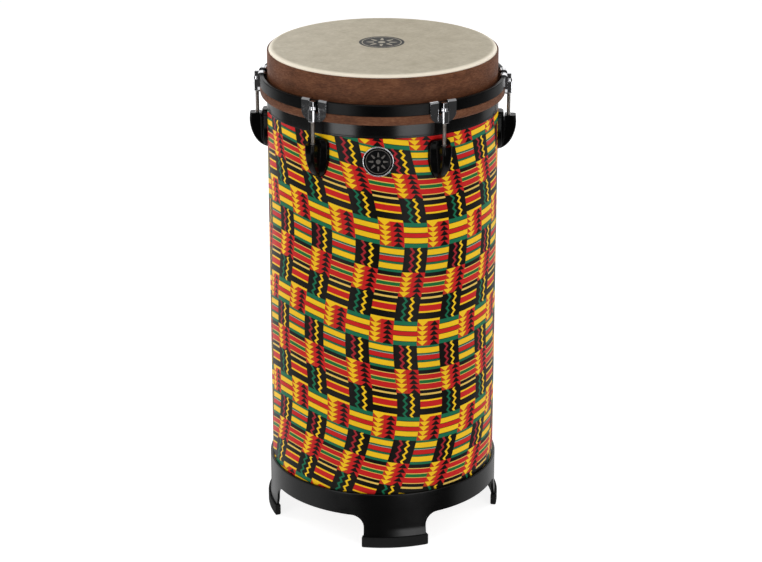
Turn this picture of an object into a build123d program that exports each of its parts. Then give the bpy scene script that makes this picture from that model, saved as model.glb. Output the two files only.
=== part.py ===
from build123d import *
import math
import os

# A floor-standing hand drum: a fibre shell on a four-legged base ring, with a tunable head that
# telescopes over the shell's neck and is pulled down by six claws and rods.
# Millimetres, +Z up, origin on the drum's axis at floor level, badge toward -Y.
# Azimuths are counted in degrees from the front (-Y) toward +X.

# Shell -----------------------------------------------------------------------------------------
shell_radius = 154.7  # outside of the bare fibre tube
shell_wall = 7.0
shell_length = 550.0
finish_thickness = 0.8  # printed wrap and black neck band
neck_band_height = 20.7
bearing_wall = 6.0
bearing_rise = 61.7  # bearing edge above the shell's top
bearing_glue_depth = 26.0
bearing_edge_round = 2.9

# Base ring and rubber feet -----------------------------------------------------------------------
base_wall = 3.5
base_clearance = 0.1  # around the wrapped shell
base_band_height = 32.6
base_top_round = 1.2
arch_height = 46.5
arch_round = 17.0
legs = 4
leg_half_angle = 15.6
leg_azimuth = 8.3  # first leg, counted from the badge
leg_flare = 2.0  # how far a leg's foot stands out from the band
leg_flare_top = 25.0
leg_flare_bottom = 16.0
ledge_width = 8.6  # flange that carries the end of the shell
ledge_thickness = 4.0
ledge_rise = 3.0  # underside of the flange above the arches
pad_height = 16.0
pad_wall = 2.2
pad_sole = 3.0
pad_end_angle = 0.75
pad_round = 3.4
base_screw_radius = 1.75
base_screw_head_radius = 3.5
base_screw_head_height = 2.6
base_screw_length = 22.0

# Head ----------------------------------------------------------------------------------------
collar_wall = 5.0
collar_clearance = 1.8  # between bearing ring and collar
collar_top_wall = 1.9  # outside the skin's skirt
neck_overlap = 1.7  # how far the lip hangs over the shell's top
lip_height = 12.7
lip_inset = 0.1  # inside the hoop's outer face
lip_round = 4.5
lip_flare_round = 4.0
lip_recess_clearance = 1.5  # around the neck band
lip_recess_depth = 7.7
skin_thickness = 0.6
skin_bearing_gap = 0.3
skin_edge_round = 5.2
skin_crown = 3.6  # playing surface above the collar's rim
skin_skirt = 20.4

# Tension hoop and claws --------------------------------------------------------------------------
hoop_thickness = 5.5
hoop_height = 15.0
hoop_edge_round = 1.5
barrel_clearance = 0.05  # between hoop and barrel
claw_thickness = 2.2
claw_gap = 2.3  # between a claw's inner leg and the collar
claw_width = 38.0
claw_slot_width = 14.0
claw_inner_leg = 10.5
claw_web_height = 10.0
claw_corner_round = 13.0
claw_slot_round = 3.0
barrel_radius = 4.5
barrel_height = 16.1
barrel_drop = 11.0  # top of a barrel below the hoop's top

# Tension rods and washers --------------------------------------------------------------------------
rods = 6
first_rod_azimuth = 30.0
rod_radius = 2.5
rod_length = 81.5  # under the flange
rod_tip_chamfer = 0.8
rod_flange_radius = 4.3
rod_flange_height = 1.5
rod_head_side = 6.35
rod_head_edge_round = 1.0
rod_head_height = 7.2
rod_head_chamfer = 0.8
washer_inset = 0.1  # washer's rim inside the barrel's
washer_thickness = 2.5
running_clearance = 0.08  # rod in barrel, washer and nut

# Lugs ------------------------------------------------------------------------------------------
lug_drop = 30.5  # top of a pod below the shell's top
lug_height = 48.1
pod_width = 14.6
pod_reach = 24.2  # from the shell's surface to the front of a pod
pod_lean = 0.7  # the front leans back toward its top
pod_lean_height = 8.5
pod_belly_height = 26.6
pod_round = 3.4
pod_rim_round = 0.6
plate_thickness = 7.0
plate_width = 32.0
plate_rise = 4.8  # base plate above the pod
plate_corner_round = 4.0
plate_foot_width = 15.0
plate_taper_height = 27.0
notch_depth = 6.5  # V between base plate and pod
notch_half_width = 1.0
nut_side = 9.0
nut_height = 17.0
nut_drop = 11.5  # top of a nut below the pod's top
nut_clearance = 0.05
nut_neck_radius = 3.6  # round neck above the square body
nut_neck_drop = 0.5  # top of a neck below the pod's top
rod_hole_clearance = 0.2  # around a rod below its nut
rod_well = 5.5  # free length below a nut
screw_radius = 2.5
screw_hole_clearance = 0.2
screw_head_radius = 4.4
screw_head_height = 3.0
screw_bite = 7.0  # into the lug
screw_drops = (5.5, 39.5)  # below the pod's top
screw_washer_radius = 6.0
screw_washer_thickness = 1.0

# Badge -----------------------------------------------------------------------------------------
badge_radius = 20.4
badge_drop = 51.2  # centre below the shell's top
badge_rim_width = 1.7
badge_rim_thickness = 1.6
badge_plate_thickness = 0.9

# Derived heights and radii -------------------------------------------------------------------------
shell_bottom = arch_height + ledge_rise + ledge_thickness
shell_top = shell_bottom + shell_length
shell_bore = shell_radius - shell_wall
finish_radius = shell_radius + finish_thickness
neck_band_bottom = shell_top - neck_band_height
bearing_top = shell_top + bearing_rise

base_bore = finish_radius + base_clearance
base_radius = base_bore + base_wall
base_top = arch_height + base_band_height
arch_cut_radius = base_radius + leg_flare + base_wall

skin_underside = bearing_top + skin_bearing_gap
skin_top = skin_underside + skin_thickness
collar_bore = shell_bore + collar_clearance
collar_radius = collar_bore + collar_wall
collar_top = skin_top - skin_crown
skirt_radius = collar_radius - collar_top_wall
skirt_bottom = collar_top - skin_skirt
lip_bottom = shell_top - neck_overlap
lip_top = lip_bottom + lip_height
lip_recess_radius = finish_radius + lip_recess_clearance

claw_inner = collar_radius + claw_gap
hoop_inner = claw_inner + claw_thickness
hoop_outer = hoop_inner + hoop_thickness
hoop_top = lip_top + hoop_height
lip_radius = hoop_outer - lip_inset
claw_outer = hoop_outer + claw_thickness
claw_top = hoop_top + claw_thickness
barrel_top = hoop_top - barrel_drop
barrel_bottom = barrel_top - barrel_height
rod_circle = hoop_outer + barrel_radius + barrel_clearance

washer_radius = barrel_radius - washer_inset
washer_top = barrel_top + washer_thickness
rod_flange_top = washer_top + rod_flange_height
rod_bottom = washer_top - rod_length
rod_bore = rod_radius + running_clearance
rod_azimuths = [first_rod_azimuth + k * 360 / rods for k in range(rods)]
leg_azimuths = [leg_azimuth + k * 360 / legs for k in range(legs)]

pod_top = shell_top - lug_drop
pod_front = finish_radius + pod_reach
lug_bottom = pod_top - lug_height
nut_top = pod_top - nut_drop
nut_bottom = nut_top - nut_height
screw_heights = [pod_top - drop for drop in screw_drops]
# A flat washer rests with its rim on the curved inside of the tube.
screw_seat = math.sqrt(shell_bore**2 - screw_washer_radius**2) - screw_washer_thickness
lug_backing = finish_radius - screw_seat


def facing(azimuth, height):
    """A plane on the drum's axis that looks outward at an azimuth, with its local y upward."""
    turn = math.radians(azimuth - 90)
    return Plane(
        origin=(0, 0, height),
        x_dir=(-math.sin(turn), math.cos(turn), 0),
        z_dir=(math.cos(turn), math.sin(turn), 0),
    )


def copy_at(piece, azimuth):
    """A copy of a piece that was modelled along +X, turned to its azimuth."""
    return piece.rotate(Axis.Z, azimuth - 90)


os.makedirs("parts", exist_ok=True)

# Shell tube: laminated fibre, drilled for the lug screws and the base screws ------------------------
with BuildPart() as shell_tube:
    with BuildSketch(Plane.XY.offset(shell_bottom)):
        Circle(shell_radius)
        Circle(shell_bore, mode=Mode.SUBTRACT)
    extrude(amount=shell_length)
    for azimuth in rod_azimuths:
        for height in screw_heights:
            with BuildSketch(facing(azimuth, height).offset(shell_bore - shell_wall)):
                Circle(screw_radius + screw_hole_clearance)
            extrude(amount=3 * shell_wall, mode=Mode.SUBTRACT)
    with BuildSketch(Plane.XY.offset(shell_bottom)):
        with PolarLocations(shell_radius - shell_wall / 2, legs, start_angle=leg_azimuth - 45):
            Circle(base_screw_radius)
    extrude(amount=base_screw_length - ledge_thickness, mode=Mode.SUBTRACT)
shell_tube.part.label = "shell_tube"
export_step(shell_tube.part, "parts/shell_tube.step")

# Printed wrap: a thin sleeve glued around the tube, up to the neck band ------------------------------
with BuildPart() as pattern_wrap:
    with BuildSketch(Plane.XY.offset(shell_bottom)):
        Circle(finish_radius)
        Circle(shell_radius, mode=Mode.SUBTRACT)
    extrude(amount=neck_band_bottom - shell_bottom)
    for azimuth in rod_azimuths:
        for height in screw_heights:
            with BuildSketch(facing(azimuth, height).offset(shell_bore)):
                Circle(screw_radius + screw_hole_clearance)
            extrude(amount=2 * shell_wall, mode=Mode.SUBTRACT)
pattern_wrap.part.label = "pattern_wrap"
export_step(pattern_wrap.part, "parts/pattern_wrap.step")

# Neck band: plain black sleeve that the head's lip slides over ---------------------------------------
with BuildPart() as neck_band:
    with BuildSketch(Plane.XY.offset(neck_band_bottom)):
        Circle(finish_radius)
        Circle(shell_radius, mode=Mode.SUBTRACT)
    extrude(amount=neck_band_height)
neck_band.part.label = "neck_band"
export_step(neck_band.part, "parts/neck_band.step")

# Bearing ring: glued inside the shell's top, its rounded top edge carries the skin --------------------
with BuildPart() as bearing_ring:
    with BuildSketch(Plane.XY.offset(shell_top - bearing_glue_depth)):
        Circle(shell_bore)
        Circle(shell_bore - bearing_wall, mode=Mode.SUBTRACT)
    extrude(amount=bearing_glue_depth + bearing_rise)
    fillet(bearing_ring.faces().sort_by(Axis.Z)[-1].edges(), radius=bearing_edge_round)
bearing_ring.part.label = "bearing_ring"
export_step(bearing_ring.part, "parts/bearing_ring.step")

# Base ring: a band around the shell's end, an inner flange under it, and four flared legs --------------
with BuildPart() as base_ring:
    with BuildSketch(Plane.XZ):
        with BuildLine():
            Polyline(
                (base_bore, base_top),
                (base_radius, base_top),
                (base_radius, leg_flare_top),
                (base_radius + leg_flare, leg_flare_bottom),
                (base_radius + leg_flare, pad_sole),
                (base_bore + leg_flare, pad_sole),
                (base_bore + leg_flare, leg_flare_bottom),
                (base_bore, leg_flare_top),
                (base_bore, shell_bottom - ledge_thickness),
                (base_bore - ledge_width, shell_bottom - ledge_thickness),
                (base_bore - ledge_width, shell_bottom),
                (base_bore, shell_bottom),
                close=True,
            )
        make_face()
    revolve(axis=Axis.Z)
    top_rim = base_ring.edges().filter_by(GeomType.CIRCLE).group_by(Axis.Z)[-1].sort_by(SortBy.RADIUS)
    fillet(top_rim[-1], radius=base_top_round)
    for azimuth in leg_azimuths:
        gap_start = azimuth + leg_half_angle
        with BuildSketch(Plane.XZ.rotated((0, 0, gap_start - 90))):
            with BuildLine():
                Polyline(
                    (base_bore - base_wall, 0),
                    (arch_cut_radius, 0),
                    (arch_cut_radius, arch_height),
                    (base_bore - base_wall, arch_height),
                    close=True,
                )
            make_face()
        revolve(axis=Axis.Z, revolution_arc=360 / legs - 2 * leg_half_angle, mode=Mode.SUBTRACT)
    arch_corners = base_ring.edges().filter_by(GeomType.LINE).filter_by_position(
        Axis.Z, arch_height - 0.01, arch_height + 0.01
    )
    fillet(arch_corners, radius=arch_round)
    with BuildSketch(Plane.XY.offset(shell_bottom)):
        with PolarLocations(shell_radius - shell_wall / 2, legs, start_angle=leg_azimuth - 45):
            Circle(base_screw_radius + screw_hole_clearance)
    extrude(amount=-ledge_thickness, mode=Mode.SUBTRACT)
base_ring.part.label = "base_ring"
export_step(base_ring.part, "parts/base_ring.step")

# Base screws: up through the flange into the tube's end, between the legs --------------------------
with BuildPart() as base_screws:
    with BuildSketch(Plane.XY.offset(shell_bottom - ledge_thickness)):
        with PolarLocations(shell_radius - shell_wall / 2, legs, start_angle=leg_azimuth - 45):
            Circle(base_screw_radius)
    extrude(amount=base_screw_length)
    with BuildSketch(Plane.XY.offset(shell_bottom - ledge_thickness)):
        with PolarLocations(shell_radius - shell_wall / 2, legs, start_angle=leg_azimuth - 45):
            Circle(base_screw_head_radius)
    extrude(amount=-base_screw_head_height)
base_screws.part.label = "base_screws"
export_step(base_screws.part, "parts/base_screws.step")

# Foot pads: rubber shoes pushed over the legs -------------------------------------------------------
pad_half_angle = leg_half_angle + pad_end_angle
for number, azimuth in enumerate(leg_azimuths, start=1):
    with BuildPart() as foot_pad:
        with BuildSketch(Plane.XZ.rotated((0, 0, azimuth - pad_half_angle - 90))):
            with BuildLine():
                Polyline(
                    (base_bore + leg_flare - pad_wall, 0),
                    (base_radius + leg_flare + pad_wall, 0),
                    (base_radius + leg_flare + pad_wall, pad_height),
                    (base_bore + leg_flare - pad_wall, pad_height),
                    close=True,
                )
            make_face()
        revolve(axis=Axis.Z, revolution_arc=2 * pad_half_angle)
        fillet(foot_pad.faces().sort_by(Axis.Z)[0].edges(), radius=pad_round)
        with BuildSketch(Plane.XZ.rotated((0, 0, azimuth - leg_half_angle - 90))):
            with BuildLine():
                Polyline(
                    (base_bore + leg_flare, pad_sole),
                    (base_radius + leg_flare, pad_sole),
                    (base_radius + leg_flare, pad_height + 1),
                    (base_bore + leg_flare, pad_height + 1),
                    close=True,
                )
            make_face()
        revolve(axis=Axis.Z, revolution_arc=2 * leg_half_angle, mode=Mode.SUBTRACT)
    foot_pad.part.label = f"foot_pad_{number}"
    export_step(foot_pad.part, f"parts/foot_pad_{number}.step")

# Head collar: fibre tube that carries the skin, with a lip that the tension hoop presses down ------------
with BuildPart() as head_collar:
    with BuildSketch(Plane.XZ):
        with BuildLine():
            Polyline(
                (collar_radius, lip_top + lip_flare_round),
                (collar_radius, collar_top),
                (skirt_radius, collar_top),
                (skirt_radius, skirt_bottom),
                (collar_bore, skirt_bottom),
                (collar_bore, lip_bottom + lip_recess_depth),
                (lip_recess_radius, lip_bottom + lip_recess_depth),
                (lip_recess_radius, lip_bottom),
                (lip_radius - lip_round, lip_bottom),
            )
            RadiusArc(
                (lip_radius - lip_round, lip_bottom),
                (lip_radius, lip_bottom + lip_round),
                -lip_round,
            )
            Polyline(
                (lip_radius, lip_bottom + lip_round),
                (lip_radius, lip_top),
                (collar_radius + lip_flare_round, lip_top),
            )
            RadiusArc(
                (collar_radius + lip_flare_round, lip_top),
                (collar_radius, lip_top + lip_flare_round),
                lip_flare_round,
            )
        make_face()
    revolve(axis=Axis.Z)
head_collar.part.label = "head_collar"
export_step(head_collar.part, "parts/head_collar.step")

# Drum skin: a thin film, flat on top, rolled over its edge into a skirt inside the collar ---------------
flat_radius = skirt_radius - skin_edge_round
with BuildPart() as drum_skin:
    with BuildSketch(Plane.XZ):
        with BuildLine():
            Polyline((0, skin_underside), (0, skin_top), (flat_radius, skin_top))
            RadiusArc(
                (flat_radius, skin_top),
                (skirt_radius, skin_top - skin_edge_round),
                skin_edge_round,
            )
            Polyline(
                (skirt_radius, skin_top - skin_edge_round),
                (skirt_radius, skirt_bottom),
                (skirt_radius - skin_thickness, skirt_bottom),
                (skirt_radius - skin_thickness, skin_top - skin_edge_round),
            )
            RadiusArc(
                (skirt_radius - skin_thickness, skin_top - skin_edge_round),
                (flat_radius, skin_underside),
                skin_thickness - skin_edge_round,
            )
            Line((flat_radius, skin_underside), (0, skin_underside))
        make_face()
    revolve(axis=Axis.Z)
drum_skin.part.label = "drum_skin"
export_step(drum_skin.part, "parts/drum_skin.step")

# Tension hoop: flat bar rolled into a ring, standing on the collar's lip -------------------------------
with BuildPart() as tension_hoop:
    with BuildSketch(Plane.XY.offset(lip_top)):
        Circle(hoop_outer)
        Circle(hoop_inner, mode=Mode.SUBTRACT)
    extrude(amount=hoop_height)
    fillet(tension_hoop.faces().sort_by(Axis.Z)[-1].edges(), radius=hoop_edge_round)
tension_hoop.part.label = "tension_hoop"
export_step(tension_hoop.part, "parts/tension_hoop.step")

# Claws: stamped hooks over the hoop, two ears joined by a web, with a barrel for the rod ----------------
with BuildPart() as claw:
    with BuildSketch(Plane.XZ) as hook_section:
        with BuildLine():
            Polyline(
                (hoop_outer, barrel_bottom),
                (claw_outer, barrel_bottom),
                (claw_outer, claw_top),
                (claw_inner, claw_top),
                (claw_inner, hoop_top - claw_inner_leg),
                (hoop_inner, hoop_top - claw_inner_leg),
                (hoop_inner, hoop_top),
                (hoop_outer, hoop_top),
                close=True,
            )
        make_face()
        outer_bends = hook_section.vertices().group_by(Axis.Y)[-1]
        fillet(outer_bends, radius=hoop_edge_round + claw_thickness)
        inner_bends = hook_section.vertices().filter_by_position(
            Axis.Y, hoop_top - claw_thickness / 2, hoop_top + claw_thickness / 2
        )
        fillet(inner_bends, radius=hoop_edge_round)
    revolve(axis=Axis.Z)
    with BuildSketch(Plane.YZ.offset(claw_inner - claw_thickness)) as ears:
        with Locations((0, (barrel_bottom + claw_top) / 2)):
            Rectangle(claw_width, claw_top - barrel_bottom)
        fillet(ears.vertices().group_by(Axis.Y)[0], radius=claw_corner_round)
        with BuildSketch(mode=Mode.SUBTRACT) as slot:
            with Locations((0, barrel_bottom + claw_web_height + hoop_height)):
                Rectangle(claw_slot_width, 2 * hoop_height)
            fillet(slot.vertices(), radius=claw_slot_round)
    extrude(amount=4 * hoop_thickness, mode=Mode.INTERSECT)
    with BuildSketch(Plane.XY.offset(barrel_bottom)):
        with Locations((rod_circle, 0)):
            Circle(barrel_radius)
    extrude(amount=barrel_height)
    with BuildSketch(Plane.XY.offset(barrel_bottom)):
        with Locations((rod_circle, 0)):
            Circle(rod_bore)
    extrude(amount=barrel_height, mode=Mode.SUBTRACT)

for number, azimuth in enumerate(rod_azimuths, start=1):
    claw_copy = copy_at(claw.part, azimuth)
    claw_copy.label = f"claw_{number}"
    export_step(claw_copy, f"parts/claw_{number}.step")

# Rod washers: one on each barrel ---------------------------------------------------------------------
with BuildPart() as rod_washers:
    with BuildSketch(Plane.XY.offset(barrel_top)):
        with PolarLocations(rod_circle, rods, start_angle=first_rod_azimuth - 90):
            Circle(washer_radius)
            Circle(rod_bore, mode=Mode.SUBTRACT)
    extrude(amount=washer_thickness)
rod_washers.part.label = "rod_washers"
export_step(rod_washers.part, "parts/rod_washers.step")

# Tension rods: square key heads with a flange, threaded into the lug nuts -------------------------------
with BuildPart() as tension_rod:
    with BuildSketch(Plane.XY.offset(rod_bottom)):
        with Locations((rod_circle, 0)):
            Circle(rod_radius)
    extrude(amount=rod_length)
    chamfer(tension_rod.faces().sort_by(Axis.Z)[0].edges(), length=rod_tip_chamfer)
    with BuildSketch(Plane.XY.offset(rod_flange_top)):
        with Locations((rod_circle, 0)):
            RectangleRounded(rod_head_side, rod_head_side, rod_head_edge_round)
    extrude(amount=rod_head_height)
    chamfer(tension_rod.faces().sort_by(Axis.Z)[-1].edges(), length=rod_head_chamfer)
    with BuildSketch(Plane.XY.offset(washer_top)):
        with Locations((rod_circle, 0)):
            Circle(rod_flange_radius)
    extrude(amount=rod_flange_height)

for number, azimuth in enumerate(rod_azimuths, start=1):
    rod_copy = copy_at(tension_rod.part, azimuth)
    rod_copy.label = f"tension_rod_{number}"
    export_step(rod_copy, f"parts/tension_rod_{number}.step")

# Lugs: a rounded pod with a pocket for the nut, on a base plate that hugs the shell --------------------
pod_back = finish_radius + plate_thickness / 2
notch_bottom = finish_radius + plate_thickness + notch_half_width
with BuildPart() as lug_pod:
    with BuildSketch(Plane.XZ):
        with BuildLine():
            Polyline(
                (pod_back, lug_bottom),
                (pod_back, pod_top - notch_depth),
                (notch_bottom, pod_top - notch_depth),
                (notch_bottom + notch_half_width, pod_top),
                (pod_front - pod_lean, pod_top),
                (pod_front, pod_top - pod_lean_height),
                (pod_front, lug_bottom + pod_belly_height),
            )
            TangentArc(
                (pod_front, lug_bottom + pod_belly_height),
                (pod_back, lug_bottom),
                tangent=(0, -1),
            )
        make_face()
    extrude(amount=pod_width / 2, both=True)
    front_edges = lug_pod.edges().filter_by_position(
        Axis.X, notch_bottom + notch_half_width, pod_front + 1
    )
    long_edges = front_edges.filter_by_position(Axis.Z, lug_bottom, pod_top - 1)
    fillet(long_edges.filter_by(Axis.Y, reverse=True), radius=pod_round)
    fillet(lug_pod.faces().sort_by(Axis.Z)[-1].edges(), radius=pod_rim_round)

with BuildPart() as lug:
    with BuildSketch(Plane.XY.offset(lug_bottom)):
        Circle(finish_radius + plate_thickness)
        Circle(finish_radius, mode=Mode.SUBTRACT)
    extrude(amount=lug_height + plate_rise)
    with BuildSketch(Plane.YZ.offset(finish_radius - shell_wall)) as plate_outline:
        with BuildLine():
            Polyline(
                (-plate_width / 2, pod_top + plate_rise),
                (plate_width / 2, pod_top + plate_rise),
                (plate_width / 2, lug_bottom + plate_taper_height),
                (plate_foot_width / 2, lug_bottom),
                (-plate_foot_width / 2, lug_bottom),
                (-plate_width / 2, lug_bottom + plate_taper_height),
                close=True,
            )
        make_face()
        fillet(plate_outline.vertices(), radius=plate_corner_round)
    extrude(amount=2 * shell_wall, mode=Mode.INTERSECT)
    add(lug_pod.part)
    with BuildSketch(Plane.XY.offset(pod_top)):
        with Locations((rod_circle, 0)):
            Circle(nut_neck_radius + nut_clearance)
    extrude(amount=nut_top - pod_top, mode=Mode.SUBTRACT)
    with BuildSketch(Plane.XY.offset(nut_bottom)):
        with Locations((rod_circle, 0)):
            Circle(rod_bore + rod_hole_clearance)
    extrude(amount=-rod_well, mode=Mode.SUBTRACT)
    with BuildSketch(Plane.XY.offset(nut_bottom)):
        with BuildLine():
            Polyline(
                (finish_radius - shell_wall, -nut_side / 2 - nut_clearance),
                (rod_circle + nut_side / 2 + nut_clearance, -nut_side / 2 - nut_clearance),
                (rod_circle + nut_side / 2 + nut_clearance, nut_side / 2 + nut_clearance),
                (finish_radius - shell_wall, nut_side / 2 + nut_clearance),
                close=True,
            )
        make_face()
    extrude(amount=nut_height, mode=Mode.SUBTRACT)
    for height in screw_heights:
        with BuildSketch(facing(90, height).offset(finish_radius - shell_wall)):
            Circle(screw_radius)
        extrude(amount=shell_wall + screw_bite, mode=Mode.SUBTRACT)

for number, azimuth in enumerate(rod_azimuths, start=1):
    lug_copy = copy_at(lug.part, azimuth)
    lug_copy.label = f"lug_{number}"
    export_step(lug_copy, f"parts/lug_{number}.step")

# Lug nuts: square threaded inserts in the pods' pockets --------------------------------------------------
with BuildPart() as lug_nuts:
    with BuildSketch(Plane.XY.offset(nut_bottom)):
        with PolarLocations(rod_circle, rods, start_angle=first_rod_azimuth - 90):
            Rectangle(nut_side, nut_side)
            Circle(rod_bore, mode=Mode.SUBTRACT)
    extrude(amount=nut_height)
    with BuildSketch(Plane.XY.offset(nut_top)):
        with PolarLocations(rod_circle, rods, start_angle=first_rod_azimuth - 90):
            Circle(nut_neck_radius)
            Circle(rod_bore, mode=Mode.SUBTRACT)
    extrude(amount=pod_top - nut_neck_drop - nut_top)
lug_nuts.part.label = "lug_nuts"
export_step(lug_nuts.part, "parts/lug_nuts.step")

# Lug screws: two per lug, driven outward from inside the shell -------------------------------------------
with BuildPart() as lug_screws:
    for azimuth in rod_azimuths:
        for height in screw_heights:
            seat = facing(azimuth, height).offset(screw_seat)
            with BuildSketch(seat):
                Circle(screw_radius)
            extrude(amount=lug_backing + screw_bite)
            with BuildSketch(seat):
                Circle(screw_head_radius)
            extrude(amount=-screw_head_height)
lug_screws.part.label = "lug_screws"
export_step(lug_screws.part, "parts/lug_screws.step")

with BuildPart() as lug_screw_washers:
    for azimuth in rod_azimuths:
        for height in screw_heights:
            with BuildSketch(facing(azimuth, height).offset(screw_seat)):
                Circle(screw_washer_radius)
                Circle(screw_radius + running_clearance, mode=Mode.SUBTRACT)
            extrude(amount=screw_washer_thickness)
lug_screw_washers.part.label = "lug_screw_washers"
export_step(lug_screw_washers.part, "parts/lug_screw_washers.step")

# Badge: a metal rim and a dark plate, both curved to the shell -------------------------------------------
badge_height = shell_top - badge_drop
with BuildPart() as badge_rim:
    with BuildSketch(Plane.XY.offset(badge_height - badge_radius)):
        Circle(finish_radius + badge_rim_thickness)
        Circle(finish_radius, mode=Mode.SUBTRACT)
    extrude(amount=2 * badge_radius)
    with BuildSketch(facing(0, badge_height).offset(finish_radius - shell_wall)):
        Circle(badge_radius)
        Circle(badge_radius - badge_rim_width, mode=Mode.SUBTRACT)
    extrude(amount=2 * shell_wall, mode=Mode.INTERSECT)
badge_rim.part.label = "badge_rim"
export_step(badge_rim.part, "parts/badge_rim.step")

with BuildPart() as badge_plate:
    with BuildSketch(Plane.XY.offset(badge_height - badge_radius)):
        Circle(finish_radius + badge_plate_thickness)
        Circle(finish_radius, mode=Mode.SUBTRACT)
    extrude(amount=2 * badge_radius)
    with BuildSketch(facing(0, badge_height).offset(finish_radius - shell_wall)):
        Circle(badge_radius - badge_rim_width)
    extrude(amount=2 * shell_wall, mode=Mode.INTERSECT)
badge_plate.part.label = "badge_plate"
export_step(badge_plate.part, "parts/badge_plate.step")
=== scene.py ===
import math

import bmesh
import bpy
from mathutils import Matrix, Vector


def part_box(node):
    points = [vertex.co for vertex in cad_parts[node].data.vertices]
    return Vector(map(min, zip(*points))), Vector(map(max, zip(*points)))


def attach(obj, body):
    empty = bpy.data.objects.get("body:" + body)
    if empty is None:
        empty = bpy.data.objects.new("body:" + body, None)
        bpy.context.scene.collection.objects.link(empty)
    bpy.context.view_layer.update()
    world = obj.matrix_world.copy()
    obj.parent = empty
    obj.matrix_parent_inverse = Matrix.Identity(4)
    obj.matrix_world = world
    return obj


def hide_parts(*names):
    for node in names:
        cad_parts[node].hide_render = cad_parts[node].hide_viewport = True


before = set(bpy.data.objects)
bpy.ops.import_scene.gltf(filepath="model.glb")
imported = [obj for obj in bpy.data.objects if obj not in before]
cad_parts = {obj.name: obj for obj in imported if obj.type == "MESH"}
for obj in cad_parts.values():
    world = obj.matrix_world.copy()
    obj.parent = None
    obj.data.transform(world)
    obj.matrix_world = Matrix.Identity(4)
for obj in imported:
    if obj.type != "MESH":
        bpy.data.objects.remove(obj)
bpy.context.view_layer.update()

# A floor hand drum. Lengths in this script are millimetres unless a name says otherwise, +Z is up,
# the badge faces -Y, and azimuths are counted in degrees from the front (-Y) toward +X.
MM = 0.001
STATIONS = [30 + 60 * k for k in range(6)]
LEGS = [8.3 + 90 * k for k in range(4)]
ROUND_STEPS = 256
SMOOTH_ANGLE = 40.0  # degrees; faces that meet at more keep a sharp edge


def ring_of(node):
    """Outer radius, bottom and top of a CAD node that is round about the drum's axis."""
    low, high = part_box(node)
    return max(high.x, high.y, -low.x, -low.y) / MM, low.z / MM, high.z / MM


shell_r, shell_low, shell_top = ring_of("shell_tube")
wrap_r, wrap_low, wrap_top = ring_of("pattern_wrap")
bearing_r, bearing_low, bearing_top = ring_of("bearing_ring")
lip_r, lip_low, collar_top = ring_of("head_collar")
hoop_r, hoop_low, hoop_top = ring_of("tension_hoop")
skin_r, skirt_low, skin_top = ring_of("drum_skin")
base_flare_r, base_low, base_top = ring_of("base_ring")
pad_r, pad_low, pad_top = ring_of("foot_pad_1")
badge_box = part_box("badge_rim")
badge_z = (badge_box[0].z + badge_box[1].z) / 2 / MM
badge_r = badge_box[1].x / MM
badge_rim_width = 1.7

# Meshes ------------------------------------------------------------------------------------------


def object_of(name, bm, angle=SMOOTH_ANGLE):
    """Turns a bmesh in millimetres into a smooth-shaded object in metres."""
    bmesh.ops.recalc_face_normals(bm, faces=bm.faces)
    bmesh.ops.scale(bm, vec=(MM, MM, MM), verts=bm.verts)
    mesh = bpy.data.meshes.new(name)
    bm.to_mesh(mesh)
    bm.free()
    mesh.polygons.foreach_set("use_smooth", [True] * len(mesh.polygons))
    mesh.set_sharp_from_angle(angle=math.radians(angle))
    obj = bpy.data.objects.new(name, mesh)
    bpy.context.scene.collection.objects.link(obj)
    return obj


def rounded(points, steps=6, closed=True):
    """Corner-rounded outline through (a, b, radius) points, as a list of (a, b)."""
    out = []
    count = len(points)
    for i, (a, b, radius) in enumerate(points):
        here = Vector((a, b))
        if radius <= 0 or (not closed and i in (0, count - 1)):
            out.append((a, b))
            continue
        before = Vector(points[i - 1][:2]) - here
        after = Vector(points[(i + 1) % count][:2]) - here
        half = before.angle(after) / 2
        reach = radius / math.tan(half)
        start = here + before.normalized() * reach
        end = here + after.normalized() * reach
        middle = (before.normalized() + after.normalized()).normalized()
        centre = here + middle * radius / math.sin(half)
        first = math.atan2(start.y - centre.y, start.x - centre.x)
        turn = math.atan2(end.y - centre.y, end.x - centre.x) - first
        turn = (turn + math.pi) % (2 * math.pi) - math.pi
        for k in range(steps + 1):
            t = first + turn * k / steps
            out.append((centre.x + radius * math.cos(t), centre.y + radius * math.sin(t)))
    return out


def lathe(profile, steps=ROUND_STEPS, bm=None, centre=(0.0, 0.0), flow=None):
    """Revolves a closed (radius, z) outline about a vertical axis; flow(r, z, angle) moves points."""
    bm = bm or bmesh.new()
    rings = []
    for k in range(steps):
        t = 2 * math.pi * k / steps
        ring = []
        for r, z in profile:
            if flow:
                r, z = flow(r, z, t)
            ring.append(bm.verts.new((centre[0] + r * math.cos(t), centre[1] + r * math.sin(t), z)))
        rings.append(ring)
    count = len(profile)
    for k in range(steps):
        here, there = rings[k], rings[(k + 1) % steps]
        for i in range(count):
            j = (i + 1) % count
            bm.faces.new((here[i], there[i], there[j], here[j]))
    bmesh.ops.remove_doubles(bm, verts=bm.verts, dist=1e-5)
    bmesh.ops.dissolve_degenerate(bm, dist=1e-6, edges=bm.edges)
    return bm


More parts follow.
